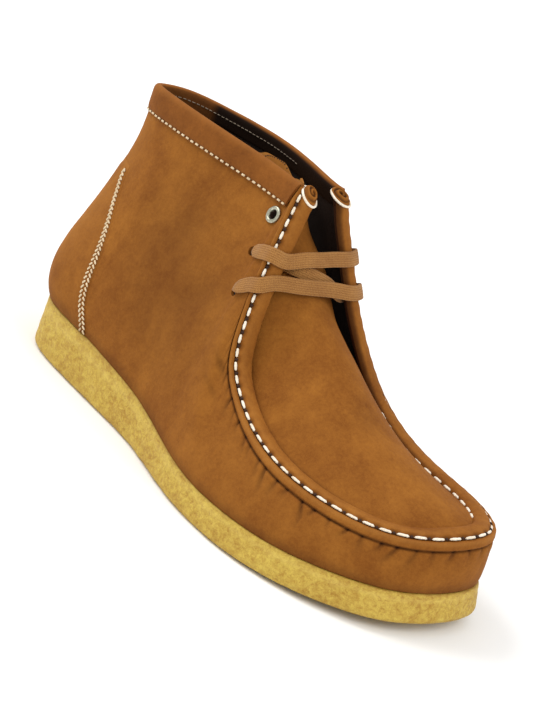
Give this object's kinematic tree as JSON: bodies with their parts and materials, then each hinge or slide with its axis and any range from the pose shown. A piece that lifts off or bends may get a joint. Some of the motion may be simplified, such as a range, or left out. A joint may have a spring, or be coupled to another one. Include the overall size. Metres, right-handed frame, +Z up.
{
  "type": "moccasin boot",
  "caption": "Right ankle boot with a rolled moccasin seam, tongue apron, flat lace and a crepe wedge sole.",
  "frame": {"origin": "middle of the boot's box, on the floor under the sole", "axes": "+X from the heel to the toe, +Y to the medial side, +Z up"},
  "size_m": [0.3046, 0.1166, 0.1525],
  "materials": {
    "nubuck": "matte cognac nubuck",
    "nubuck_dark": "matte nubuck, padded",
    "crepe": "matte natural crepe",
    "lining": "matte dark lining",
    "lace": "woven flat lace",
    "brass": "antique satin"
  },
  "bodies": {
    "root": {"outsole": "crepe", "upper": "nubuck", "insole": "lining", "apron_tongue": "nubuck", "seam_roll": "nubuck", "collar_band": "nubuck_dark", "heel_counter": "nubuck", "eyelet_lateral": "brass", "eyelet_medial": "brass", "lace": "lace"}
  },
  "joints": []
}
